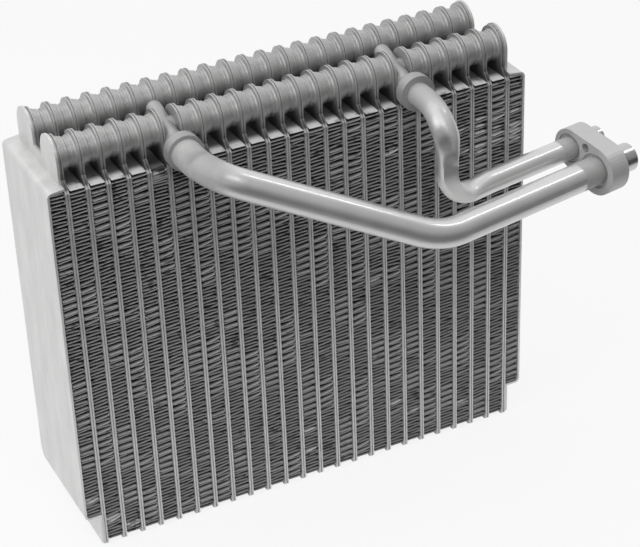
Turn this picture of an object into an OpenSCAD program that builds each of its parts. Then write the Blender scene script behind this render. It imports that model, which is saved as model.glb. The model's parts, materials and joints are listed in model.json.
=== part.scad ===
// Evaporator core of a vehicle air conditioner, laminated plate-and-fin type, brazed aluminium.
// X runs along the core, the pipes stand in front of it at -Y, and +Z is up.
// The origin is the middle of the foot of the tube that stands half way along the core.

/* [Core] */
// Number of flat tubes, each a brazed pair of stamped plates
tube_count = 24; // [18:2:24]
// Distance from one tube to the next
tube_pitch = 11; // [10:0.5:13]
// Depth of the core in the direction of the air
core_depth = 68; // [62:1:90]
// Height of the top of the fins above the feet of the tubes
fin_top = 221; // [160:1:260]
// Height of the lower end of the inner fins
fin_foot = 3; // [2:0.5:6]
// Height of the lower end of the two outer fins
outer_fin_foot = 21; // [16:1:32]

/* [Tubes] */
// Outside thickness of one tube across its two plates
tube_t = 2.3; // [2:0.1:3]
// Thickness of one plate
plate_t = 0.5; // [0.4:0.05:0.6]
// Depth of the groove between the two plate edges
rim_groove = 0.8; // [0.5:0.1:1.2]
// Width of the brazed rim round the refrigerant passages
rim_w = 3; // [2:0.5:5]
// Width of the rib that parts the front passage from the rear one
rib_w = 4; // [3:0.5:8]
// Height of the turn where the two passages join at the foot
turn_h = 14; // [8:1:24]
// How far the lips near the foot of each plate stand out
lip_out = 0.7; // [0.4:0.1:1]
// Height of each lip
lip_h = 0.8; // [0.4:0.1:0.8]
// How far the lower side of the lips lies below the inner fins
lip_drop = 1.6; // [1.2:0.1:1.8]
// Corner radius at the foot of the plates
foot_r = 2; // [1:0.5:6]
// How far the sloping shoulders of the plates start below the top of the fins
shoulder_drop = 1.5; // [1:0.1:3]

/* [Tanks] */
// Height of the tank centres above the fins
tank_rise = 13.2; // [12:0.2:18]
// Distance from the middle of the core to each tank centre
tank_offset = 17.5; // [15:0.5:22]
// Radius of the round plate ends that show as discs
disc_r = 10.9; // [10.6:0.1:11.2]
// Radius of the wider cup, on the right of each plate pair
cup_r = 9.1; // [8.8:0.1:9.4]
// Radius of the narrower cup, on the left of each plate pair
small_cup_r = 8.4; // [8:0.1:8.6]
// Depth of the rounded step between the wide and the narrow band of a cup
cup_step = 0.5; // [0.3:0.1:0.6]
// Radius of the hollow where a cup rises from its plate
cup_fillet = 0.9; // [0.4:0.1:1]
// Bevel at the mouth of a cup
cup_bevel = 0.25; // [0.1:0.05:0.4]
// Height of the wide band of a cup as a share of the whole cup
cup_waist = 0.62; // [0.5:0.01:0.7]
// Radius of the passage from cup to cup
cup_port_r = 6.5; // [5:0.5:7]
// Depth of the valley between the two tanks below the tank centres
valley_drop = 4.6; // [2:0.2:8]

/* [Fins] */
// Rise from one fin leg to the next
fin_leg = 1.98; // [1.4:0.02:3]
// Height of the flat land at each fold, where the fin is brazed to a tube
fold_land = 0.9; // [0.5:0.1:1]
// Thickness of the fin strip
fin_t = 0.15; // [0.1:0.05:0.3]
// Width of the two outer fins
outer_fin_w = 8.2; // [6:0.1:12]
// How far the fins stay behind the tube edges
fin_inset = 0.4; // [0:0.1:2]

/* [End sheets] */
// Thickness of the end sheets
sheet_t = 1.2; // [0.8:0.1:1.6]
// Outside bend radius of the end sheets
sheet_bend_r = 3; // [2.5:0.1:3.6]
// Height of the crease at the foot of the sheet lobes above the fins
crease_rise = 2.2; // [1.8:0.1:3]
// How much the top of the sheet drops from the crease to the outer face
ramp_drop = 0.8; // [0:0.1:1.5]
// Height of the foot of the lower flange
flange_foot = 2; // [0.5:0.5:5]
// Radius of the sheet lobes that close the tanks
sheet_lobe_r = 11.7; // [11.3:0.1:12.5]
// Corner radius at the rear foot of the outer face
sheet_corner_r = 10; // [4:1:15]

/* [Adapters] */
// Number of tubes between each end of the core and its adapter
adapter_tubes = 6; // [4:1:7]
// Wall of the adapter collars round the suction pipe
collar_wall = 1.85; // [1.6:0.05:2.4]
// Length of the collars
collar_len = 9; // [7:0.5:12]
// Radius of the round shoulder at the rear of the collars
shoulder_r = 3.5; // [2:0.5:4]
// How far the round rear end of the neck lies behind the tank centre
neck_back = 13.5; // [10:0.5:15]
// How far the rear end of the neck lies above the collar axis
neck_rise = 7.8; // [6:0.2:9]
// Distance from the tank's discs to the place where the neck starts to widen
flare_gap = 0.5; // [0.2:0.1:2]
// Radius of the neck where it meets the collar
flare_r = 6.3; // [5:0.1:6.6]
// Radius of the boss that stands between the two tubes beside a neck
boss_r = 5.2; // [4.9:0.1:5.6]
// Radius of the port from the tank into the boss
boss_port_r = 3.4; // [3:0.1:3.6]
// How far the rear face of the collars stands in front of the core face
collar_gap = 0.8; // [0.5:0.1:4]
// Depth to which a pipe is set in its collar
pipe_seat = 7; // [5:0.5:7]
// How far the collar axis lies below the tank centres
collar_drop = 3.4; // [2:0.1:4]

/* [Pipes] */
// Outside diameter of the suction pipe
suction_od = 16; // [14:0.5:16.5]
// Outside diameter of the liquid pipe
liquid_od = 12.7; // [10:0.1:13]
// Wall of both pipes
pipe_wall = 1.2; // [0.8:0.1:1.5]
// Distance from the core face to the first corner of the suction pipe
suction_out = 35.5; // [34:0.5:45]
// Distance from the core face to the first corner of the liquid pipe
liquid_out = 42.4; // [38:0.2:50]
// How far the liquid pipe drops from its collar to its last run
liquid_drop = 46.8; // [44:0.2:60]
// Bend radius where the suction pipe leaves its collar
suction_bend_r = 24; // [20:1:26]
// Bend radius in the middle of the suction pipe
suction_mid_r = 42; // [30:1:60]
// Bend radius where the liquid pipe turns down
liquid_bend_r = 24; // [20:1:26]
// Bend radius of the tight elbow of the liquid pipe
liquid_elbow_r = 17; // [15:1:20]
// Angle by which the last runs turn back towards the core
run_angle = 11; // [5:1:15]
// Length of the last liquid run, from its corner to the block
liquid_run = 85.4; // [70:0.2:110]
// Length of the last suction run, from its corner to the block
suction_run = 108; // [95:1:130]
// How much slimmer the pipes are in their bends
bend_slim = 0.05; // [0.02:0.01:0.1]
// How far the straight runs reach into the bends
bend_lap = 0.5; // [0.3:0.1:0.8]

/* [Flange block] */
// Sideways distance from the liquid port to the suction port
port_side = 20.1; // [19:0.1:26]
// How far the suction port lies below the liquid port
port_drop = 6; // [2:0.5:8]
// Thickness of the block
block_t = 12; // [11:0.5:18]
// Radius of the block round the suction port
block_big_r = 14; // [13:0.5:17]
// Radius of the block round the liquid port
block_small_r = 11; // [10.5:0.5:14]
// Depth of the recess round each pipe
recess_depth = 1.6; // [0.8:0.2:2.4]
// Width of the recess round each pipe
recess_w = 2; // [1.4:0.1:2.2]
// Diameter of the bolt hole
bolt_d = 5; // [4:0.1:5.5]
// Distance of the bolt hole from the line through the ports
bolt_rise = 8.2; // [7.8:0.1:8.6]
// Depth to which pipes and stubs are set in the block
port_seat = 4.5; // [3:0.1:4.5]

/* [Stubs] */
// Length of the suction stub beyond the block
suction_stub_len = 13.5; // [10:0.5:20]
// Length of the liquid stub beyond the block
liquid_stub_len = 10; // [8:0.5:16]
// Outside diameter of the suction stub
suction_stub_d = 16; // [14:0.1:16.5]
// Outside diameter of the liquid stub
liquid_stub_d = 12; // [10:0.1:13]
// Wall of the stubs
stub_wall = 1.8; // [1.6:0.1:2]
// Width of the seal groove
groove_w = 2.4; // [1.6:0.1:3]
// Depth of the seal groove
groove_depth = 1; // [0.6:0.1:1.2]
// Distance of the seal groove from the block
groove_at = 3; // [2:0.1:4]
// Bevel at the tip of the stubs
stub_bevel = 0.8; // [0.4:0.1:1]

/* [Fits] */
// Clearance between brazed faces
braze_gap = 0.05; // [0.02:0.01:0.1]

/* [Hidden] */
$fn = 72;
cut = 1;
edge_steps = 24;
cup_steps = 3;
shoulder_steps = 5;

tube_half = tube_t / 2;
gap_w = tube_pitch - tube_t;
front_y = -core_depth / 2;
middle_tube = floor(tube_count / 2);
tank_z = fin_top + tank_rise;
crease_z = fin_top + crease_rise;
shoulder_z = fin_top - shoulder_drop;
collar_z = tank_z - collar_drop;
sheet_in = tube_half + braze_gap;
sheet_out = sheet_in + outer_fin_w + braze_gap + sheet_t;
sheet_foot_z = outer_fin_foot - braze_gap - sheet_t;
collar_r = suction_od / 2 + braze_gap + collar_wall;
fin_depth = core_depth - 2 * fin_inset;

function two(n) = n < 10 ? str("0", n) : str(n);
function tube_x(i) = (i - middle_tube) * tube_pitch;
function end_x(side) = side < 0 ? tube_x(1) : tube_x(tube_count);
suction_tube = adapter_tubes;
liquid_tube = tube_count - adapter_tubes;
suction_x = tube_x(suction_tube) + tube_pitch / 2;
liquid_x = tube_x(liquid_tube) + tube_pitch / 2;

tube_names = [for (i = [1:tube_count]) str("tube_", two(i))];
fin_names = [for (i = [1:tube_count + 1]) str("fin_", two(i))];
other_names = ["end_sheet_left", "end_sheet_right", "suction_adapter", "liquid_adapter",
    "suction_pipe", "liquid_pipe", "flange_block", "suction_stub", "liquid_stub"];

// Corners of the two pipe routes, worked out from the collars and the block
function unit(v) = v / norm(v);
run_dir = [cos(run_angle), sin(run_angle), 0];
side_dir = [sin(run_angle), -cos(run_angle), 0];
collar_face_y = front_y - collar_gap - collar_len;
pipe_start_y = collar_face_y + pipe_seat;
liquid_c0 = [liquid_x, pipe_start_y, collar_z];
liquid_c1 = [liquid_x, front_y - liquid_out, collar_z];
liquid_c2 = liquid_c1 - [0, 0, liquid_drop];
liquid_port = liquid_c2 + liquid_run * run_dir;
suction_port = liquid_port + port_side * side_dir - [0, 0, port_drop];
suction_c0 = [suction_x, pipe_start_y, collar_z];
suction_c1 = [suction_x, front_y - suction_out, collar_z];
suction_c2 = suction_port - suction_run * run_dir;
liquid_route = [liquid_c0, liquid_c1, liquid_c2, liquid_port + port_seat * run_dir];
suction_route = [suction_c0, suction_c1, suction_c2, suction_port + port_seat * run_dir];

// Plate outline in the YZ plane, with its edge moved in by an inset
module lobe_pair(r, base_z, inset = 0) {
    for (s = [-1, 1]) {
        translate([s * tank_offset, tank_z]) circle(r - inset);
        translate([s * tank_offset - r + inset, base_z]) square([2 * (r - inset), tank_z - base_z]);
    }
    valley_z = tank_z - valley_drop - inset;
    translate([-tank_offset, base_z]) square([2 * tank_offset, valley_z - base_z]);
}

module plate_outline(inset = 0) {
    half = core_depth / 2 - inset;
    neck = tank_offset + disc_r - inset;
    translate([-half, inset + foot_r]) square([2 * half, shoulder_z - inset - foot_r]);
    translate([-half + foot_r, inset]) square([2 * (half - foot_r), foot_r + cut]);
    for (s = [-1, 1]) translate([s * (half - foot_r), inset + foot_r]) circle(foot_r);
    polygon([
        [-half, shoulder_z - cut], [half, shoulder_z - cut], [half, shoulder_z],
        [neck, shoulder_z + half - neck], [-neck, shoulder_z + half - neck], [-half, shoulder_z]
    ]);
    lobe_pair(disc_r, shoulder_z, inset);
}

// Outline of the layer where the two plates meet, set back from the front, rear and top edges
module seam_outline() {
    flat = core_depth - 2 * (foot_r + rim_groove);
    plate_outline(rim_groove);
    translate([-flat / 2, 0]) square([flat, foot_r]);
}

// Stands a YZ outline up and gives it a thickness along X from x0
module along_x(x0, thickness) {
    translate([x0, 0, 0]) rotate([90, 0, 90]) linear_extrude(thickness) children();
}

// Passages pressed into the plates: two columns that join in a turn at the foot
module passage_outline() {
    difference() {
        intersection() {
            plate_outline(rim_w);
            translate([-core_depth, 0]) square([2 * core_depth, tank_z]);
        }
        translate([-rib_w / 2, rim_w + turn_h]) square([rib_w, tank_z]);
    }
}

// One drawn cup, from the face of its plate to the mouth half way to the next tube
module cup(r, side, y) {
    mouth = tube_pitch / 2 - braze_gap / 2;
    waist = tube_half + cup_waist * (mouth - tube_half);
    root = tube_half - plate_t / 2;
    neck_r = r - cup_step;
    translate([0, y, tank_z]) rotate([0, side * 90, 0])
        rotate_extrude()
            polygon(concat(
                [[0, 0], [r, 0], [r, root], [r + cup_fillet, root]],
                arc([r + cup_fillet, tube_half + cup_fillet], cup_fillet, 270, 180, cup_steps),
                arc([neck_r, waist - cup_step], cup_step, 0, 90, cup_steps),
                [[neck_r, mouth - cup_bevel], [neck_r - cup_bevel, mouth], [0, mouth]]
            ));
}

function has_front_cup(i, side) = side > 0
    ? i != suction_tube && i != liquid_tube
    : i != suction_tube + 1 && i != liquid_tube + 1;

module tube_cups(i) {
    if (i < tube_count) {
        cup(cup_r, 1, tank_offset);
        if (has_front_cup(i, 1)) cup(cup_r, 1, -tank_offset);
    }
    if (i > 1) {
        cup(small_cup_r, -1, tank_offset);
        if (has_front_cup(i, -1)) cup(small_cup_r, -1, -tank_offset);
    }
}

// Whether a tank opens through one plate of a tube at its full width
function opens(i, side, s) =
    (side < 0 ? i > 1 : i < tube_count) && (s > 0 || has_front_cup(i, side));

module tube_passages(i) {
    inner = tube_half - plate_t;
    along_x(-inner, 2 * inner) passage_outline();
    for (s = [-1, 1]) {
        left = opens(i, -1, s) ? tube_pitch : inner;
        right = opens(i, 1, s) ? tube_pitch : inner;
        translate([-left, s * tank_offset, tank_z]) rotate([0, 90, 0])
            cylinder(r = cup_port_r, h = left + right);
    }
    for (side = [-1, 1])
        if (!has_front_cup(i, side))
            translate([0, -tank_offset, tank_z]) rotate([0, side * 90, 0])
                cylinder(r = boss_port_r, h = tube_pitch);
}

// Lips that stand out towards the neighbouring tubes, left off beside the end sheets
module tube_lips(i) {
    left = tube_half + (i > 1 ? lip_out : 0);
    right = tube_half + (i < tube_count ? lip_out : 0);
    translate([-left, front_y + foot_r, fin_foot - lip_drop])
        cube([left + right, core_depth - 2 * foot_r, lip_h]);
}

module tube(i) {
    side_t = (tube_t - plate_t) / 2;
    color("darkgray") translate([tube_x(i), 0, 0]) difference() {
        union() {
            along_x(-tube_half, side_t) plate_outline();
            along_x(tube_half - side_t, side_t) plate_outline();
            along_x(-tube_half, tube_t) seam_outline();
            tube_cups(i);
            tube_lips(i);
        }
        tube_passages(i);
    }
}

// Offsets a line of points to one side, with mitred corners
function normal_of(a, b) = let (u = unit(b - a)) [-u[1], u[0]];
function shifted(points, d) = [
    for (k = [0:len(points) - 1])
        let (
            n0 = k > 0 ? normal_of(points[k - 1], points[k]) : normal_of(points[k], points[k + 1]),
            n1 = k < len(points) - 1 ? normal_of(points[k], points[k + 1]) : n0
        )
        points[k] + (n0 + n1) * d / (1 + n0 * n1)
];
function flipped(points) = [for (k = [len(points) - 1:-1:0]) points[k]];

// Serpentine fin: one strip folded to and fro between two tubes, with a flat land at each fold
module serpentine(width, foot, top) {
    low = foot + fin_t / 2;
    height = top - foot - fin_t + fold_land;
    legs = floor(height / fin_leg);
    leg = height / legs;
    reach = width / 2 - braze_gap - fin_t / 2;
    line = [
        for (k = [0:legs - 1])
            let (way = k % 2 == 0 ? 1 : -1)
            each [[-way * reach, low + k * leg], [way * reach, low + (k + 1) * leg - fold_land]]
    ];
    rotate([90, 0, 0]) translate([0, 0, -fin_depth / 2]) linear_extrude(fin_depth)
        polygon(concat(shifted(line, fin_t / 2), flipped(shifted(line, -fin_t / 2))));
}

module fin(i) {
    outer_x = sheet_in + outer_fin_w / 2;
    color("dimgray")
        if (i == 1) translate([tube_x(1) - outer_x, 0, 0])
            serpentine(outer_fin_w, outer_fin_foot, fin_top);
        else if (i > tube_count) translate([tube_x(tube_count) + outer_x, 0, 0])
            serpentine(outer_fin_w, outer_fin_foot, fin_top);
        else translate([tube_x(i) - tube_pitch / 2, 0, 0]) serpentine(gap_w, fin_foot, fin_top);
}

// End sheet, folded from one piece: lobes, sloping top, outer face, return and lower flange.
// Points along an arc, for the folded section seen from the front on the right end.
function arc(c, r, a0, a1, n = 8) = [
    for (k = [0:n]) let (a = a0 + (a1 - a0) * k / n) c + r * [cos(a), sin(a)]
];

module sheet_section() {
    r = sheet_bend_r;
    ri = r - sheet_t;
    high = [sheet_out - r, crease_z - ramp_drop - r];
    low = [sheet_out - r, sheet_foot_z + r];
    steep = 90 - atan(ramp_drop / (high[0] - sheet_in));
    outer = concat(
        [[sheet_in, crease_z]], arc(high, r, steep, 0), arc(low, r, 0, -90),
        [[sheet_in + sheet_t, sheet_foot_z], [sheet_in + sheet_t, flange_foot]],
        [[sheet_in, flange_foot]]
    );
    inner = concat(
        [[sheet_in, sheet_foot_z + sheet_t]], arc(low, ri, -90, 0), arc(high, ri, 0, steep),
        [[sheet_in, crease_z - sheet_t]]
    );
    polygon(concat(outer, inner));
}

// What is cut off the outer face to leave its round corner at the rear foot
module sheet_corner_cut() {
    half = core_depth / 2;
    r = sheet_corner_r;
    difference() {
        translate([half - r, sheet_foot_z - cut]) square([r + cut, r + cut]);
        translate([half - r, sheet_foot_z + r]) circle(r);
    }
}

module end_sheet(side) {
    color("lightgray") translate([end_x(side), 0, 0]) mirror([side < 0 ? 1 : 0, 0, 0])
        difference() {
            union() {
                rotate([90, 0, 0]) translate([0, 0, front_y])
                    linear_extrude(core_depth) sheet_section();
                along_x(sheet_in, sheet_t) difference() {
                    lobe_pair(sheet_lobe_r, crease_z - sheet_t);
                    translate([-core_depth, 0]) square([2 * core_depth, crease_z - sheet_t]);
                }
            }
            along_x(sheet_in + sheet_t, sheet_out) sheet_corner_cut();
        }
}

// Adapter: a boss between two tubes, a round neck that crosses it, slopes down and widens, and a
// collar for the pipe. Its own frame has the collar axis along -y and the tank centre above the origin.
module forwards(from, length) {
    translate([0, -from, 0]) rotate([90, 0, 0]) linear_extrude(length) children();
}

module collar() {
    rotate([90, 0, 0]) rotate_extrude()
        polygon(concat(
            [[0, 0]],
            arc([collar_r - shoulder_r, shoulder_r], shoulder_r, 270, 360, shoulder_steps),
            [[collar_r, collar_len], [0, collar_len]]
        ));
}

module adapter(x, od) {
    neck_r = gap_w / 2 - braze_gap;
    neck_len = -tank_offset - front_y + collar_gap;
    tail = [0, neck_back, neck_rise];
    head = [0, -neck_len, 0];
    slope = unit(head - tail);
    over_boss = tail - slope * neck_back / slope[1];
    flare_at = over_boss - slope * (disc_r + flare_gap) / slope[1];
    inside = head + slope * shoulder_r;
    color("silver") translate([x, -tank_offset, collar_z]) difference() {
        union() {
            translate([-neck_r, 0, collar_drop]) rotate([0, 90, 0]) cylinder(r = boss_r, h = 2 * neck_r);
            translate(tail) sphere(neck_r);
            rod(tail, inside, neck_r, neck_r);
            rod(flare_at, inside, neck_r - braze_gap, flare_r);
            translate(head) collar();
        }
        forwards(neck_len + collar_len - pipe_seat - braze_gap, pipe_seat + cut)
            circle(od / 2 + braze_gap);
        rod(over_boss, inside, neck_r - pipe_wall, neck_r - pipe_wall);
        translate([-tube_pitch, 0, collar_drop]) rotate([0, 90, 0])
            cylinder(r = boss_port_r, h = 2 * tube_pitch);
    }
}

// Sweeps a round section of radius r along a route with a bend radius at each inner corner.
// The straight runs reach a little way into the bends, which are drawn slightly slimmer.
function bend_angle(p, k) = acos(unit(p[k] - p[k - 1]) * unit(p[k + 1] - p[k]));
function is_corner(p, k) = k > 0 && k < len(p) - 1;
function tangent(p, radii, k) = radii[k - 1] * tan(bend_angle(p, k) / 2);
function frame_of(x, y, z, o) = [
    [x[0], y[0], z[0], o[0]], [x[1], y[1], z[1], o[1]], [x[2], y[2], z[2], o[2]], [0, 0, 0, 1]
];

// A cylinder or a cone from one point to another
module rod(a, b, r1, r2) {
    w = unit(b - a);
    u = unit(cross(w, abs(w[2]) > 0.9 ? [0, 1, 0] : [0, 0, 1]));
    multmatrix(frame_of(u, cross(w, u), w, a)) cylinder(r1 = r1, r2 = r2, h = norm(b - a));
}

module bend(p, radii, k, r) {
    u1 = unit(p[k] - p[k - 1]);
    u2 = unit(p[k + 1] - p[k]);
    big = radii[k - 1];
    angle = bend_angle(p, k);
    start = p[k] - u1 * tangent(p, radii, k);
    centre = p[k] + unit(u2 - u1) * big / cos(angle / 2);
    x = unit(start - centre);
    multmatrix(frame_of(x, u1, cross(x, u1), centre))
        rotate_extrude(angle = angle) translate([big, 0]) circle(r - bend_slim);
}

module sweep(p, radii, r, past = 0) {
    for (k = [0:len(p) - 2]) {
        u = unit(p[k + 1] - p[k]);
        from = is_corner(p, k) ? tangent(p, radii, k) - bend_lap : -past;
        to = is_corner(p, k + 1) ? tangent(p, radii, k + 1) - bend_lap : -past;
        rod(p[k] + u * from, p[k + 1] - u * to, r, r);
    }
    for (k = [1:len(p) - 2]) bend(p, radii, k, r);
}

module pipe(p, radii, od) {
    difference() {
        sweep(p, radii, od / 2);
        sweep(p, radii, od / 2 - pipe_wall, cut);
    }
}

module suction_pipe() {
    color("gainsboro") pipe(suction_route, [suction_bend_r, suction_mid_r], suction_od);
}

module liquid_pipe() {
    color("gainsboro") pipe(liquid_route, [liquid_bend_r, liquid_elbow_r], liquid_od);
}

// The block's own frame: x along the runs, the liquid port on its front face at the origin
module block_frame() {
    translate(liquid_port) rotate([0, 0, run_angle]) children();
}

port_line = unit([-port_side, -port_drop]);
port_span = norm([port_side, port_drop]);
port_across = [port_line[1], -port_line[0]];
bolt_at = port_line * port_span / 2 + port_across * bolt_rise;

// Two round ends of unlike size, joined by straight sides
module block_outline() {
    lean = asin((block_big_r - block_small_r) / port_span);
    way = atan2(port_line[1], port_line[0]);
    side = 90 + lean;
    polygon(concat(
        arc([0, 0], block_small_r, way + side, way + 360 - side, edge_steps),
        arc(port_line * port_span, block_big_r, way - side, way + side, edge_steps)
    ));
}

module port_cuts(pipe_d, stub_d) {
    seat = port_seat + braze_gap;
    along_x(-cut, seat + cut) circle(pipe_d / 2 + braze_gap);
    along_x(-cut, recess_depth + cut) circle(pipe_d / 2 + recess_w);
    along_x(block_t - seat, seat + cut) circle(stub_d / 2 + braze_gap);
    along_x(0, block_t) circle(stub_d / 2 - stub_wall);
}

module flange_block() {
    color("silver") block_frame() difference() {
        along_x(0, block_t) block_outline();
        port_cuts(liquid_od, liquid_stub_d);
        translate([0, -port_side, -port_drop]) port_cuts(suction_od, suction_stub_d);
        along_x(-cut, block_t + 2 * cut) translate(bolt_at) circle(bolt_d / 2);
    }
}

module stub(d, len) {
    r = d / 2;
    start = block_t - port_seat;
    end = block_t + len;
    g = block_t + groove_at;
    color("whitesmoke") block_frame() rotate([0, 90, 0]) rotate_extrude()
        polygon([
            [r - stub_wall, start], [r, start], [r, g], [r - groove_depth, g],
            [r - groove_depth, g + groove_w], [r, g + groove_w], [r, end - stub_bevel],
            [r - stub_bevel, end], [r - stub_wall, end]
        ]);
}

module suction_stub() {
    translate(suction_port - liquid_port) stub(suction_stub_d, suction_stub_len);
}

module liquid_stub() {
    stub(liquid_stub_d, liquid_stub_len);
}

for (i = [1:tube_count]) tube(i);
for (i = [1:tube_count + 1]) fin(i);
end_sheet(-1);  // end_sheet_left
end_sheet(1);  // end_sheet_right
adapter(suction_x, suction_od);  // suction_adapter
adapter(liquid_x, liquid_od);  // liquid_adapter
suction_pipe();
liquid_pipe();
flange_block();
suction_stub();
liquid_stub();
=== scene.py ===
# %% [markdown]
# # A brazed evaporator core
# The object is the cold heat exchanger of a car's air conditioner. Flat tubes, each made of two
# stamped plates, stand in a row with folded fins between them. Every plate ends in two round cups
# at the top, and the stacked cups make two ribbed tanks. The whole core is aluminium, brazed in one
# piece in a furnace. The frame gives the solids, and this lesson gives them their looks.

# %% Load the frame
import json
import math
import random

import bpy
import numpy as np
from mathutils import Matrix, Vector


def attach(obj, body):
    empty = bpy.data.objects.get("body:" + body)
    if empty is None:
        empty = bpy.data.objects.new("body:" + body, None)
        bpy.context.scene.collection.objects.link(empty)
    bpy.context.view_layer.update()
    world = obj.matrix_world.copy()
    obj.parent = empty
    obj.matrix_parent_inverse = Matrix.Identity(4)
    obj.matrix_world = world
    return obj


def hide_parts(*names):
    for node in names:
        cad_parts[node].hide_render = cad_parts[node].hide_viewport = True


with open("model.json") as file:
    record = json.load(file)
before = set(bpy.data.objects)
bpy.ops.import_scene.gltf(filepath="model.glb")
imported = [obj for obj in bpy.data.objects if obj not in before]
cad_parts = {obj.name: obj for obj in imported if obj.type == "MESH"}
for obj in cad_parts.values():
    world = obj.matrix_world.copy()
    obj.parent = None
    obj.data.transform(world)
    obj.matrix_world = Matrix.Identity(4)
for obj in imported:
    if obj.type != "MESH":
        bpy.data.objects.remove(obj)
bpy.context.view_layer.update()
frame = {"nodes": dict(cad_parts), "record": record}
MM = 0.001

# %% [markdown]
# ## Camera
# The photograph was taken from the left, above the core, with a long lens, so upright lines only
# close up a little towards the foot. The camera stands about 1.2 m away. Its small roll and shift
# come from lining up the tube tops, the feet and the end sheet with the photograph.

# %% Camera
camera_data = bpy.data.cameras.new("camera")
camera_data.sensor_width = 36
camera_data.lens = 114.2332
camera_data.shift_x = 0.0019
camera_data.shift_y = 0.0017
camera_data.clip_start = 0.05
camera = bpy.data.objects.new("camera", camera_data)
camera.location = (-0.387508, -0.882648, 0.700623)
camera.rotation_euler = [math.radians(a) for a in (58.80398, 2.03083, -26.56906)]
bpy.context.scene.collection.objects.link(camera)
bpy.context.scene.camera = camera
print("camera", round(camera.location.length, 3), "m from the origin")

# %% [markdown]
# ## Floor and light
# Metal shows what stands round it. Behind and below the object everything is white, and so is what
# the camera sees. In front, where the photographer stood, the table ends and the room is dark up to
# shoulder height. That dark room is the soft dark band along the lower half of each pipe. A narrow
# lamp high on the right draws the thin white line on the last pipe runs.

# %% Helpers for the scene and for edit mode
def deselect():
    if bpy.context.object and bpy.context.object.mode != "OBJECT":
        bpy.ops.object.mode_set(mode="OBJECT")
    bpy.ops.object.select_all(action="DESELECT")


def pick(piece):
    """Makes one object the only selected one."""
    deselect()
    piece.select_set(True)
    bpy.context.view_layer.objects.active = piece
    return piece


def choose(piece, test, kind="VERT"):
    """Selects the vertices, edges or faces whose middle passes a test, and goes to edit mode."""
    bpy.ops.object.mode_set(mode="EDIT")
    bpy.ops.mesh.select_mode(type=kind)
    bpy.ops.mesh.select_all(action="DESELECT")
    bpy.ops.object.mode_set(mode="OBJECT")
    mesh = piece.data
    if kind == "VERT":
        parts, middles = mesh.vertices, [v.co for v in mesh.vertices]
    elif kind == "EDGE":
        parts = mesh.edges
        middles = [(mesh.vertices[a].co + mesh.vertices[b].co) / 2 for a, b in (e.vertices for e in parts)]
    else:
        parts, middles = mesh.polygons, [f.center for f in mesh.polygons]
    count = 0
    for part, middle in zip(parts, middles):
        if test(middle):
            part.select = True
            count += 1
    bpy.ops.object.mode_set(mode="EDIT")
    return count


def settle(piece):
    """Applies the object's place and turn, so that its place is in its mesh."""
    pick(piece)
    bpy.ops.object.transform_apply(location=True, rotation=True, scale=True)
    return piece


def modify(piece, kind, **settings):
    """Adds a modifier and applies it."""
    pick(piece)
    modifier = piece.modifiers.new(kind.lower(), kind)
    for name, value in settings.items():
        setattr(modifier, name, value)
    bpy.ops.object.modifier_apply(modifier=modifier.name)
    return piece


deselect()

# %% One class for shader sums
class Shade:
    """A socket of a material, with the sums that the finishes below use."""

    def __init__(self, tree, socket=None):
        self.tree = tree
        self.socket = socket

    def node(self, kind, settings=None, out=0, **sockets):
        """Adds a node: its settings are set first, then each socket gets a value or a link."""
        made = self.tree.nodes.new(kind)
        for name, value in (settings or {}).items():
            if name == "stops":
                ramp = made.color_ramp
                while len(ramp.elements) < len(value):
                    ramp.elements.new(0.5)
                for element, (place, level) in zip(ramp.elements, value):
                    element.position = place
                    element.color = (level, level, level, 1) if isinstance(level, (int, float)) else (*level, 1)
            else:
                setattr(made, name, value)
        for name, value in sockets.items():
            slot = made.inputs[int(name[1:])] if name[1:].isdigit() else made.inputs[name.replace("_", " ")]
            if isinstance(value, Shade):
                self.tree.links.new(value.socket, slot)
            else:
                slot.default_value = value
        return Shade(self.tree, made.outputs[out]) if made.outputs else None

    def sum_of(self, operation, *values):
        return self.node("ShaderNodeMath", {"operation": operation}, **{f"_{i}": v for i, v in enumerate(values)})

    def __add__(self, other): return self.sum_of("ADD", self, other)
    def __radd__(self, other): return self.sum_of("ADD", other, self)
    def __sub__(self, other): return self.sum_of("SUBTRACT", self, other)
    def __rsub__(self, other): return self.sum_of("SUBTRACT", other, self)
    def __mul__(self, other): return self.sum_of("MULTIPLY", self, other)
    def __rmul__(self, other): return self.sum_of("MULTIPLY", other, self)


def between(value, low, high, start=0.0, end=1.0):
    """Runs from start to end as a value goes from low to high, and holds beyond them."""
    return value.node("ShaderNodeMapRange", {"interpolation_type": "SMOOTHSTEP"},
                      Value=value, From_Min=low, From_Max=high, To_Min=start, To_Max=end)


# %% World, lamps and floor
scene = bpy.context.scene
scene.view_settings.view_transform = "Standard"
world = bpy.data.worlds.new("studio")
world.use_nodes = True
scene.world = world
sky = Shade(world.node_tree)
world.node_tree.nodes.clear()
heading = sky.node("ShaderNodeTexCoord", out=0)
height = sky.node("ShaderNodeSeparateXYZ", out=2, Vector=heading)
backdrop = between(sky.node("ShaderNodeSeparateXYZ", out=1, Vector=heading), -0.1, 0.4)
room = sky.node("ShaderNodeValToRGB", {"stops": [(0.0, 0.12), (0.47, 0.08), (0.52, 0.14), (0.60, 0.32), (0.80, 0.42),
                                                 (1.0, 0.50)]}, Fac=height * 0.5 + 0.5)
rays = "ShaderNodeLightPath"
seen = sky.node(rays, out=0) + (sky.node(rays, out=3) + sky.node(rays, out=6)) * backdrop
colour = sky.node("ShaderNodeMix", {"data_type": "RGBA"}, out=2, _0=seen, _6=room, _7=(1, 1, 1, 1))
glow = sky.node("ShaderNodeBackground", Color=colour, Strength=1.0)
sky.node("ShaderNodeOutputWorld", Surface=glow)


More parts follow.
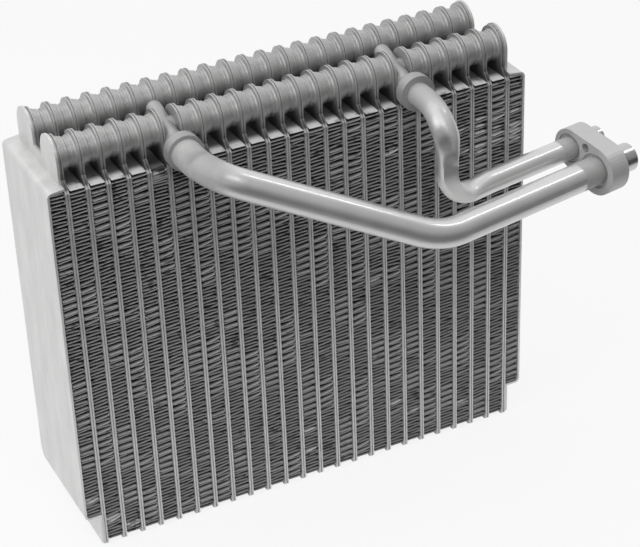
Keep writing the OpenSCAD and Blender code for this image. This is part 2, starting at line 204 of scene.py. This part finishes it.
def softbox(name, place, size, power, aim=(0.0, 0.0, 0.13)):
    lamp = bpy.data.lights.new(name, "AREA")
    lamp.shape = "RECTANGLE"
    lamp.size, lamp.size_y = size
    lamp.energy = power
    obj = bpy.data.objects.new(name, lamp)
    obj.location = place
    obj.rotation_euler = (Vector(aim) - Vector(place)).to_track_quat("-Z", "Y").to_euler()
    scene.collection.objects.link(obj)
    return obj


softbox("lamp_top", (-0.4, 0.1, 1.5), (1.9, 1.4), 7.5)
softbox("lamp_left", (-1.4, -0.4, 0.8), (1.2, 1.4), 8.5)
softbox("lamp_front", (-0.2, -1.1, 1.3), (0.9, 0.5), 3)
softbox("lamp_line", (1.05, -0.12, 1.38), (0.10, 0.34), 1.6)

bpy.ops.mesh.primitive_plane_add(size=6, location=(0, 0, -0.0002))
floor = settle(bpy.context.object)
floor.name = "floor"
floor_finish = bpy.data.materials.new("pale_floor")
floor_finish.use_nodes = True
floor_finish.node_tree.nodes.clear()
paint = Shade(floor_finish.node_tree)
table = between(paint.node("ShaderNodeSeparateXYZ", out=1, Vector=paint.node("ShaderNodeTexCoord", out=3)),
                -0.30, -0.16)
tone = 0.08 + table * 0.74
grey = paint.node("ShaderNodeCombineColor", Red=tone, Green=tone, Blue=tone)
matt = paint.node("ShaderNodeBsdfDiffuse", Color=grey)
shine = paint.node("ShaderNodeEmission", Color=(1, 1, 1, 1), Strength=1.0)
seen = paint.node(rays, out=0) + (paint.node(rays, out=3) + paint.node(rays, out=6)) * table
mixed = paint.node("ShaderNodeMixShader", _0=seen * (1 - table * 0.14), _1=matt, _2=shine)
paint.node("ShaderNodeOutputMaterial", Surface=mixed)
floor.data.materials.append(floor_finish)
print("lamps and floor ready")

# %% [markdown]
# ## Finishes
# All the metal is aluminium, but each piece left the furnace looking different. The stamped plates
# are matt and slightly mottled with flux, the end sheets are smoother and lighter, the drawn pipes
# are satin with matt ends where they got hot, and the stubs are freshly turned.

# %% Raw aluminium finishes
def aluminium(name, level, rough, metal, mottle=0.06, mottle_mm=6.0, grain=0.03, grain_mm=0.35,
              stretch=(1, 1, 1), bump=0.05, coat=0, matt_and_painted_zones=(), shaded_core_tone=0, painted_top_light=0, lift_below_tanks=0,
              pocket_shade=0, glints=0, dents=()):
    """Aluminium with large soft mottling, small grain and, near given points, a matt zone: the heated
    ends of the pipes, and on the bent elbow also a painted dark reflection and a painted light patch.
    shaded_core_tone is the share of tone that painted shade leaves on what lies deeper in the core than
    its front and rear margins, but not on the open top fold, where painted_top_light paints light at
    the margins. lift_below_tanks makes what lies below the tanks lighter, and pocket_shade paints shade
    in the pockets under them. glints leaves small brighter patches, and dents are places where bent
    metal gets a painted highlight: a lighter tone and a smoother surface."""
    finish = bpy.data.materials.new(name)
    finish.use_nodes = True
    tree = finish.node_tree
    tree.nodes.clear()
    s = Shade(tree)
    place = s.node("ShaderNodeTexCoord", out=3)
    level_z = s.node("ShaderNodeSeparateXYZ", out=2, Vector=place)
    depth = s.node("ShaderNodeMath", {"operation": "ABSOLUTE"},
                   _0=s.node("ShaderNodeSeparateXYZ", out=1, Vector=place))
    drawn = s.node("ShaderNodeMapping", Vector=place, Scale=stretch)
    soft = s.node("ShaderNodeTexNoise", {"noise_dimensions": "3D"}, Vector=drawn,
                  Scale=1 / (mottle_mm * MM), Detail=3.0, Roughness=0.6)
    fine = s.node("ShaderNodeTexNoise", {"noise_dimensions": "3D"}, Vector=drawn,
                  Scale=1 / (grain_mm * MM), Detail=2.0, Roughness=0.7)
    tone = level * (1 + (soft - 0.5) * (2 * mottle) + (fine - 0.5) * (2 * grain))
    roughness = rough + (soft - 0.5) * 0.12
    # What lies below the tanks is made lighter, by a set share
    if lift_below_tanks:
        tone = tone * (1 + lift_below_tanks * between(level_z, 0.212, 0.222, 1.0, 0.0))
    # Painted shade: the pockets under the tanks, behind the front of the plates, are darkened
    if pocket_shade:
        pocket = between(level_z, 0.2215, 0.2320, 1.0, 0.0) * between(depth, 0.0318, 0.0330, 1.0, 0.0)
        tone = tone * (1 - pocket_shade * pocket)
    # Painted shade deep in the core behind the margins and at the rear of the top fold, and painted light on the
    # front margin of the top fold
    if shaded_core_tone:
        top = between(level_z, 0.2196, 0.2204)
        open_top = top * between(depth, 0.024, 0.030)
        deep = between(depth, 0.0318, 0.0331, 1.0, 0.0) * (1 - top) + (top - open_top) * 0.8
        tone = tone * (1 - deep * (1 - shaded_core_tone)) + open_top * painted_top_light
    # Matt zones near given points: the heated ends of the pipes get their own darker tone, and the zones on the bent
    # elbow paint a dark reflection and a light patch
    for point, radius, edge, darker in matt_and_painted_zones:
        distance = s.node("ShaderNodeVectorMath", {"operation": "DISTANCE"}, out=1, _0=place, _1=point)
        heated_and_painted = between(distance + (soft - 0.5) * edge, radius - edge / 2, radius + edge / 2, 1.0, 0.0)
        roughness = roughness + heated_and_painted * 0.25
        metal = metal - heated_and_painted * 0.3
        coat = coat * (1 - heated_and_painted)
        tone = tone * (1 - heated_and_painted * darker)
    if glints:
        patches = s.node("ShaderNodeTexNoise", {"noise_dimensions": "3D"}, Vector=place,
                         Scale=1 / (5 * MM), Detail=2.0)
        patches = between(patches, 0.60, 0.68)
        metal = metal + patches * glints
        roughness = roughness - patches * 0.25
    # Painted highlight: the dents get a lighter tone and a smoother surface
    near = s.node("ShaderNodeMapping", Vector=place, Scale=(0.25, 0.35, 1))
    for x, y, z, half in dents:
        distance = s.node("ShaderNodeVectorMath", {"operation": "DISTANCE"}, out=1, _0=near,
                          _1=(x * 0.25, y * 0.35, z))
        dent_highlight = between(distance, half * 0.7, half * 1.2, 1.0, 0.0)
        tone = tone + dent_highlight * 0.35
        roughness = roughness - dent_highlight * 0.2
    colour = s.node("ShaderNodeCombineColor", Red=tone, Green=tone, Blue=tone * 0.995)
    relief = s.node("ShaderNodeBump", Strength=bump, Distance=0.1 * MM, Height=fine)
    surface = s.node("ShaderNodeBsdfPrincipled", Base_Color=colour, Roughness=roughness, Metallic=metal,
                     Coat_Weight=coat, Coat_Roughness=0.1, Coat_IOR=2.0, Normal=relief)
    s.node("ShaderNodeOutputMaterial", Surface=surface)
    return finish


PITCH = 11 * MM


def tube_x(number):
    """Middle of a tube along the core. Tube 12 stands over the origin."""
    return (number - 12) * PITCH


# Fin, height and half height in mm of the places where the front margin is bent and gets a painted highlight
DENTS = [(22, 183.5, 1.0), (22, 196, 0.8), (23, 200.2, 0.9), (23, 196, 0.7), (23, 192, 0.9), (23, 183.8, 0.9),
         (23, 180.6, 0.8), (24, 198.6, 1.3), (24, 192, 0.9), (24, 188.6, 1.1), (24, 184, 1.1), (25, 199.7, 0.8),
         (25, 191, 1.6), (25, 187, 1.6), (25, 183, 1.2), (18, 194.9, 1.5), (8, 121.6, 1.0), (17, 117.9, 1.2),
         (13, 32.4, 1.0), (13, 18.7, 1.0), (19, 23.3, 1.0), (18, 32.7, 1.0), (22, 17.8, 1.2), (1, 31.9, 1.5),
         (2, 15.7, 2.0), (3, 8, 1.5)]
dent_points = [(tube_x(fin) - PITCH / 2, -33.6 * MM, z * MM, half * MM) for fin, z, half in DENTS]

finishes = {
    # The plates get painted shade in the pockets under the tanks. The fins get painted shade deep in the core,
    # painted light on the front of the top fold and painted highlights at the dents.
    "tube": aluminium("brazed_plate", 0.45, 0.43, 0.60, mottle=0.18, mottle_mm=7, grain=0.10, bump=0.15,
                      lift_below_tanks=0.30, pocket_shade=0.75),
    "fin": aluminium("fin_strip", 0.49, 0.55, 0.15, mottle=0.16, mottle_mm=10, grain=0.06, bump=0.05,
                     shaded_core_tone=0.07, painted_top_light=0.20, glints=0.6, dents=dent_points),
    "end_sheet": aluminium("end_sheet_metal", 0.67, 0.42, 0.55, mottle=0.22, mottle_mm=12, grain=0.06,
                           stretch=(1, 1, 0.35), bump=0.03),
    "adapter": aluminium("brazed_adapter", 0.40, 0.50, 0.5, mottle=0.10, mottle_mm=6, grain=0.06, bump=0.1),
    "pipe": aluminium("drawn_pipe", 0.67, 0.45, 0.80, mottle=0.07, mottle_mm=12, grain=0.03, bump=0.02, coat=0.6,
                      matt_and_painted_zones=[((-0.0605, -0.044, 0.2308), 0.0185, 0.003, 0.22),
                                  ((-0.0610, -0.0680, 0.2340), 0.012, 0.014, 0.32),
                                  ((0.0715, -0.050, 0.2260), 0.020, 0.012, 0.25),
                                  # Painted dark reflection: two small matt zones darken the oval on the first bend of
                                  # the liquid pipe
                                  ((0.0668, -0.0755, 0.2215), 0.0045, 0.006, 0.45),
                                  ((0.0678, -0.0790, 0.2175), 0.0042, 0.005, 0.55),
                                  # Painted light: a matt zone on the squeezed elbow whose tone is lifted, not
                                  # darkened
                                  ((0.0735, -0.077, 0.1860), 0.013, 0.008, -0.25),
                                  ((0.1553, -0.0601, 0.184), 0.0108, 0.0015, 0.25),
                                  ((0.1592, -0.0798, 0.178), 0.0152, 0.0015, 0.25)]),
    "block": aluminium("milled_block", 0.58, 0.48, 0.4, mottle=0.06, mottle_mm=6, grain=0.05, bump=0.08),
    "stub": aluminium("turned_stub", 0.56, 0.24, 0.95, mottle=0.05, mottle_mm=3, grain=0.06, bump=0.08),
}
slot_of = {part["node"]: part["material_slot"] for part in frame["record"]["subparts"]}
for name, node in frame["nodes"].items():
    node.data.materials.clear()
    node.data.materials.append(finishes[slot_of[name]])
print("finishes:", ", ".join(finishes))

# %% [markdown]
# ## Serpentine fins
# A fin is one thin strip folded to and fro, and brazed at each fold. The solids fold it in straight
# lines. The real strip turns in round hairpins that reach out to the plates, its legs lie nearly
# level, and each leg is cut into louvres behind a plain front margin. One fold is modelled here and
# an array stacks it. The spin operator turns left-handed about its axis, so each axis below points
# away from where a first guess would put it. Each copy is then bent a little, because real folds
# wander: in many places the front margin of every second leg has been pushed down on to the leg
# below it, which shows as broad bands between fine ones.

# %% One fold of the strip
TURN_STEPS = 4
TURN_DEPTH = 0.5
FRONT, REAR = -33.6 * MM, 33.6 * MM
LOUVRE = [(0, 0), (1.3, 0), (1.5, 0.26), (2.9, -0.26), (3.1, 0)]
ROWS = [(FRONT + d * MM, lift * MM) for d, lift in LOUVRE] + [(REAR - d * MM, -lift * MM) for d, lift in LOUVRE[::-1]]
COLUMNS = [-0.5, -0.42, 0.42, 0.5]


def fold(flat, leg):
    """Two legs and two hairpins. flat is the straight length of a leg."""
    deselect()
    bpy.ops.mesh.primitive_grid_add(x_subdivisions=len(COLUMNS) - 1, y_subdivisions=len(ROWS) - 1, size=1)
    piece = bpy.context.object
    marks = [sorted({round(v.co[axis], 4) for v in piece.data.vertices}) for axis in (0, 1)]
    for v in piece.data.vertices:
        column, row = (marks[axis].index(round(v.co[axis], 4)) for axis in (0, 1))
        depth, lift = ROWS[row]
        v.co = (COLUMNS[column] * flat, depth, lift if column in (1, 2) else 0)
    pick(piece)
    bpy.ops.object.mode_set(mode="EDIT")
    bpy.ops.mesh.select_all(action="SELECT")
    bpy.ops.mesh.duplicate_move(TRANSFORM_OT_translate={"value": (0, 0, leg)})
    bpy.ops.object.mode_set(mode="OBJECT")
    choose(piece, lambda p: p.x > flat / 2 - 1e-6 and p.z < leg / 2, "EDGE")
    bpy.ops.mesh.spin(steps=TURN_STEPS, angle=math.pi, center=(flat / 2, 0, leg / 2), axis=(0, 1, 0))
    bpy.ops.object.mode_set(mode="OBJECT")
    choose(piece, lambda p: p.x < -flat / 2 + 1e-6 and p.z > leg / 2, "EDGE")
    bpy.ops.mesh.spin(steps=TURN_STEPS, angle=math.pi, center=(-flat / 2, 0, 1.5 * leg), axis=(0, -1, 0))
    bpy.ops.object.mode_set(mode="OBJECT")
    for v in piece.data.vertices:
        beyond = abs(v.co.x) - flat / 2
        if beyond > 0:
            v.co.x -= math.copysign(beyond * (1 - TURN_DEPTH), v.co.x)
    return piece


def strip(name, flat, leg, legs):
    """A full-height strip, still one sheet thick, with its first leg at height zero."""
    piece = fold(flat, leg)
    piece.name = name
    modify(piece, "ARRAY", count=legs // 2, use_relative_offset=False, use_constant_offset=True,
           constant_offset_displace=(0, 0, 2 * leg))
    top = (legs - 1) * leg
    choose(piece, lambda p: p.z > top + leg / 10 and p.x < -flat * 0.49, "VERT")
    bpy.ops.mesh.delete(type="VERT")
    bpy.ops.mesh.select_all(action="SELECT")
    bpy.ops.mesh.remove_doubles(threshold=0.02 * MM)
    bpy.ops.mesh.normals_make_consistent(inside=False)
    bpy.ops.object.mode_set(mode="OBJECT")
    return piece


tube_half, braze = 1.15 * MM, 0.05 * MM
STRIP = 0.12 * MM
INNER_WIDTH, OUTER_WIDTH = PITCH - 2 * tube_half, 8.2 * MM
FIN_FOOT, FIN_TOP = 3 * MM, 221 * MM
# The outer strips are a little shorter than their solids, to stay clear of the round folds of the end sheets
OUTER_FOOT, OUTER_TOP = 21.7 * MM, 220.4 * MM
legs_inner, legs_outer = 110, 100
inner_leg = (FIN_TOP - FIN_FOOT - STRIP) / (legs_inner - 1)
outer_leg = (OUTER_TOP - OUTER_FOOT - STRIP) / (legs_outer - 1)
inner_flat = INNER_WIDTH - 2 * braze - inner_leg * TURN_DEPTH - STRIP
outer_flat = OUTER_WIDTH - 2 * braze - outer_leg * TURN_DEPTH - STRIP
inner_strip = strip("inner_strip", inner_flat, inner_leg, legs_inner)
outer_strip = strip("outer_strip", outer_flat, outer_leg, legs_outer)
print("strip corners:", len(inner_strip.data.vertices), len(outer_strip.data.vertices))

# %% Bend, thicken and place each fin
def wander(z, seed, length):
    """A smooth random line along the height, between about -1 and 1."""
    rng = random.Random(seed)
    total = np.zeros_like(z)
    for octave in range(3):
        wave = length / (1.9 ** octave)
        total += np.sin(z / wave * 2 * math.pi + rng.uniform(0, 6.28)) / (1.4 ** octave)
    return np.clip(total / 1.5, -1, 1)


# The fin whose front top is crumpled, and how far from the front or rear a margin bends
CRUSHED = 6
MARGIN = 2.4 * MM


def make_fin(index, source, centre_x, foot, top, leg, flat):
    """Copies a strip and bends it: its legs lean and bow, its margins nod, and dents push it in."""
    deselect()
    mesh = source.data.copy()
    piece = bpy.data.objects.new(f"fin_{index:02d}_folded", mesh)
    scene.collection.objects.link(piece)
    co = np.zeros(len(mesh.vertices) * 3)
    mesh.vertices.foreach_get("co", co)
    co = co.reshape(-1, 3)
    rng = np.random.default_rng(index)
    across = co[:, 0] / (flat / 2 + leg / 2 * TURN_DEPTH)
    order = np.clip(np.round((co[:, 2] - leg * 0.25 * np.sign(across)) / leg), 0, None).astype(int)
    inside = np.clip(np.minimum(co[:, 2], top - foot - STRIP - co[:, 2]) / (6 * MM), 0, 1)
    lean = 0.11 + 0.10 * wander(co[:, 2], index * 7 + 1, 0.075) + 0.05 * rng.normal(size=400)[order]
    wedge = 0.09 * np.cos(co[:, 2] / leg * math.pi)
    bow = 0.10 * wander(co[:, 2], index * 7 + 2, 0.050)
    pushed = np.clip(wander(co[:, 2], index * 7 + 3, 0.085) * 2.2 + 0.1, 0, 1)
    pushed = pushed * np.clip(0.84 + 0.10 * rng.normal(size=400)[order // 2], 0, 0.92)
    second = np.where((order + index) % 2 == 0, 1 - 0.22 * (across + 1), 0.15) * (1 - np.abs(across) ** 8)
    near_front = np.clip((FRONT + MARGIN - co[:, 1]) / MARGIN, 0, 1)
    near_rear = np.clip((co[:, 1] - REAR + MARGIN) / MARGIN, 0, 1)
    nod = second * (pushed * near_front + pushed[::-1] * near_rear)
    bent = np.zeros(len(co))
    for fin, height, half in DENTS:
        if fin == index:
            reach = np.clip(1 - np.abs(co[:, 2] + foot - height * MM) / (2 * half * MM), 0, 1)
            bent = np.maximum(bent, reach * near_front)
    arc = np.cos(across * 1.3 + 0.5) * 0.9
    nod = nod * (1 - bent) + bent * arc
    co[:, 1] -= bent * 0.15 * MM * (1 - np.abs(across))
    co[:, 2] += leg * inside * ((lean + wedge) * across + bow * (1 - across ** 2) - nod)
    if index == CRUSHED:
        high = np.clip((co[:, 2] - 212 * MM + foot) / (8 * MM), 0, 1)
        crush = high * np.clip((-co[:, 1] - 20 * MM) / (8 * MM), 0, 1)
        curl = 0.5 + 0.5 * np.sin(across * 4.2 + co[:, 1] / (2.1 * MM)) * np.cos(co[:, 1] / (3.3 * MM))
        co[:, 2] -= crush * (1.0 + 3.6 * curl) * MM
        co[:, 1] += crush * (0.4 + 0.9 * np.sin(across * 3)) * MM
    co[:, 2] += foot + STRIP / 2
    co[:, 0] += centre_x
    mesh.vertices.foreach_set("co", co.reshape(-1))
    modify(piece, "SOLIDIFY", thickness=STRIP, offset=0)
    bpy.ops.object.shade_smooth_by_angle(angle=math.radians(50))
    mesh = piece.data
    mesh.materials.clear()
    mesh.materials.append(finishes["fin"])
    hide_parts(f"fin_{index:02d}")
    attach(piece, "root")
    return piece


fins = []
for index in range(1, 26):
    if index in (1, 25):
        end = tube_x(1) if index == 1 else tube_x(24)
        side = -1 if index == 1 else 1
        fins.append(make_fin(index, outer_strip, end + side * (tube_half + braze + OUTER_WIDTH / 2), OUTER_FOOT,
                             OUTER_TOP, outer_leg, outer_flat))
    else:
        fins.append(make_fin(index, inner_strip, tube_x(index) - PITCH / 2, FIN_FOOT, FIN_TOP, inner_leg,
                             inner_flat))
for source in (inner_strip, outer_strip):
    bpy.data.objects.remove(source)
print("fins:", len(fins), "triangles each about", 2 * len(fins[1].data.polygons))

# %% [markdown]
# ## The squeezed elbow
# The liquid pipe leaves its collar, turns down, and turns again sharply into its last run. The
# bender squeezed the pipe there: it narrows down the drop, its front is pressed to a flat that ends
# in a point, and a ridge stands at the inner corner. The solid is round, so the pipe is swept again
# here with two spins and then pressed.

# %% Sweep the liquid pipe
TILT = math.radians(11)
RUN = Vector((math.cos(TILT), math.sin(TILT), 0))
SIDE = Vector((math.sin(TILT), -math.cos(TILT), 0))
UP = Vector((0, 0, 1))
HIGH = Vector((71.5, -76.4, 230.8)) * MM
LOW = Vector((71.5, -76.4, 184.0)) * MM
PIPE_R, WALL, R_HIGH, R_LOW = 6.35 * MM, 1.2 * MM, 24 * MM, 17 * MM
solid = [v.co for v in frame["nodes"]["liquid_pipe"].data.vertices]
start_y = max(p.y for p in solid)
end_run = max((p - LOW).dot(RUN) for p in solid)
turn_high = Vector((HIGH.x, HIGH.y + R_HIGH, HIGH.z - R_HIGH))
turn_low = LOW + (RUN + UP) * R_LOW
drop = turn_high.z - turn_low.z


def extrude(step, times=1):
    for _ in range(times):
        bpy.ops.mesh.extrude_region_move(TRANSFORM_OT_translate={"value": tuple(step / times)})


deselect()
bpy.ops.mesh.primitive_circle_add(vertices=48, radius=PIPE_R, location=(HIGH.x, start_y, HIGH.z),
                                  rotation=(math.pi / 2, 0, 0))
liquid_pipe = settle(bpy.context.object)
liquid_pipe.name = "liquid_pipe_squeezed"
bpy.ops.object.mode_set(mode="EDIT")
bpy.ops.mesh.select_all(action="SELECT")
extrude(Vector((0, turn_high.y - start_y, 0)), 2)
bpy.ops.mesh.spin(steps=20, angle=math.pi / 2, center=turn_high, axis=(-1, 0, 0))
extrude(Vector((0, 0, -drop)), 4)
bpy.ops.mesh.spin(steps=26, angle=math.pi / 2, center=turn_low, axis=-SIDE)
extrude(RUN * (16 * MM), 14)
extrude(RUN * (end_run - R_LOW - 16 * MM), 2)
bpy.ops.mesh.select_all(action="SELECT")
bpy.ops.mesh.remove_doubles(threshold=0.01 * MM)
bpy.ops.mesh.normals_make_consistent(inside=False)
bpy.ops.object.mode_set(mode="OBJECT")
print("swept pipe corners:", len(liquid_pipe.data.vertices), "drop in mm:", round(drop / MM, 2))

# %% Press the elbow
def ease(value, low, high):
    t = min(1.0, max(0.0, (value - low) / (high - low)))
    return t * t * (3 - 2 * t)


def place_on_route(p):
    """The nearest middle point of the pipe, how far it is down the route from the end of the first
    bend in mm, and the two directions across the pipe: towards the second bend's middle, and front."""
    if p.z > turn_high.z and p.y > HIGH.y - PIPE_R * 2 and p.x < HIGH.x + PIPE_R * 1.5:
        if p.y > turn_high.y:
            return Vector((HIGH.x, p.y, HIGH.z)), -99, Vector((1, 0, 0)), UP
        angle = math.atan2(turn_high.y - p.y, p.z - turn_high.z)
        out = Vector((0, -math.sin(angle), math.cos(angle)))
        return turn_high + out * R_HIGH, -(math.pi / 2 - angle) * R_HIGH / MM, Vector((1, 0, 0)), out
    along = (p - LOW).dot(RUN)
    if p.z > turn_low.z and along < R_LOW * 0.8:
        return Vector((LOW.x, LOW.y, p.z)), (turn_high.z - p.z) / MM, RUN, SIDE
    if along > R_LOW:
        return LOW + RUN * along, (drop + R_LOW * math.pi / 2 + along - R_LOW) / MM, UP, SIDE
    angle = math.atan2(turn_low.z - p.z, R_LOW - along)
    inward = RUN * math.cos(angle) + UP * math.sin(angle)
    return turn_low - inward * R_LOW, (drop + R_LOW * angle) / MM, inward, SIDE


# Distances down the route, in mm from the end of the first bend, set where the squeeze, the swelling
# above it, the pressed flat and the corner ridge come and go
FLAT_TURN = -0.25
for v in liquid_pipe.data.vertices:
    middle, way, inward, front = place_on_route(v.co)
    squeeze = ease(way, -14, 8) * (1 - ease(way, 18, 44))
    a = (v.co - middle).dot(inward)
    a *= 1 - 0.60 * squeeze if a > 0 else 1 + 0.14 * squeeze
    a *= 1 + 0.10 * ease(way, -34, -18) * (1 - ease(way, -12, 4))
    b = (v.co - middle).dot(front) * (1 + 0.10 * squeeze)
    flat = ease(way, -9, 3) * (1 - ease(way, 6, 22))
    face = Vector((math.sin(FLAT_TURN), math.cos(FLAT_TURN)))
    over = a * face.x + b * face.y - PIPE_R * (1.10 - 0.38 * flat)
    if over > 0 and flat > 0:
        a -= over * face.x * 0.93
        b -= over * face.y * 0.93
    corner = math.exp(-((way - drop / MM - 15) / 3.2) ** 2) * max(0.0, math.cos(math.atan2(b, a) - 0.9)) ** 3
    grow = 1 + 0.16 * corner
    v.co = middle + inward * (a * grow) + front * (b * grow)
liquid_pipe.data.update()
modify(liquid_pipe, "SOLIDIFY", thickness=WALL, offset=-1)
bpy.ops.object.shade_smooth_by_angle(angle=math.radians(40))
liquid_pipe.data.materials.clear()
liquid_pipe.data.materials.append(finishes["pipe"])
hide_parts("liquid_pipe")
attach(liquid_pipe, "root")
print("pipe triangles:", 2 * len(liquid_pipe.data.polygons))
